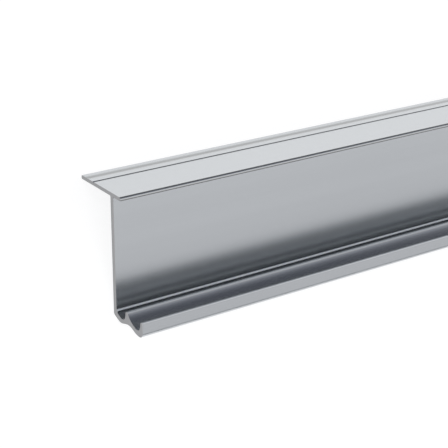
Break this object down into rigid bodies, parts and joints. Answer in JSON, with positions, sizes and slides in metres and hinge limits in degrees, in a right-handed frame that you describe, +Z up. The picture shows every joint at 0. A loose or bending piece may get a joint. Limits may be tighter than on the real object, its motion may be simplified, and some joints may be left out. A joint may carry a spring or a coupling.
{
  "type": "aluminium extrusion profile",
  "caption": "Extruded aluminium track profile: a flange with a drill line on a tall thin web, and a grooved foot with a ridge and a front lip, for rollers or sliding panels.",
  "frame": {"origin": "middle of the length and of the width, on the floor that the profile lies on", "axes": "+X along the length; the profile lies on its back, with the flange towards +Y and the grooved foot towards -Y; +Z up"},
  "size_m": [1, 0.0613, 0.0257],
  "materials": {
    "aluminium": "satin, as extruded, with fine die lines along the length and sawn ends"
  },
  "bodies": {
    "root": {"extruded_profile": "aluminium"}
  },
  "joints": []
}
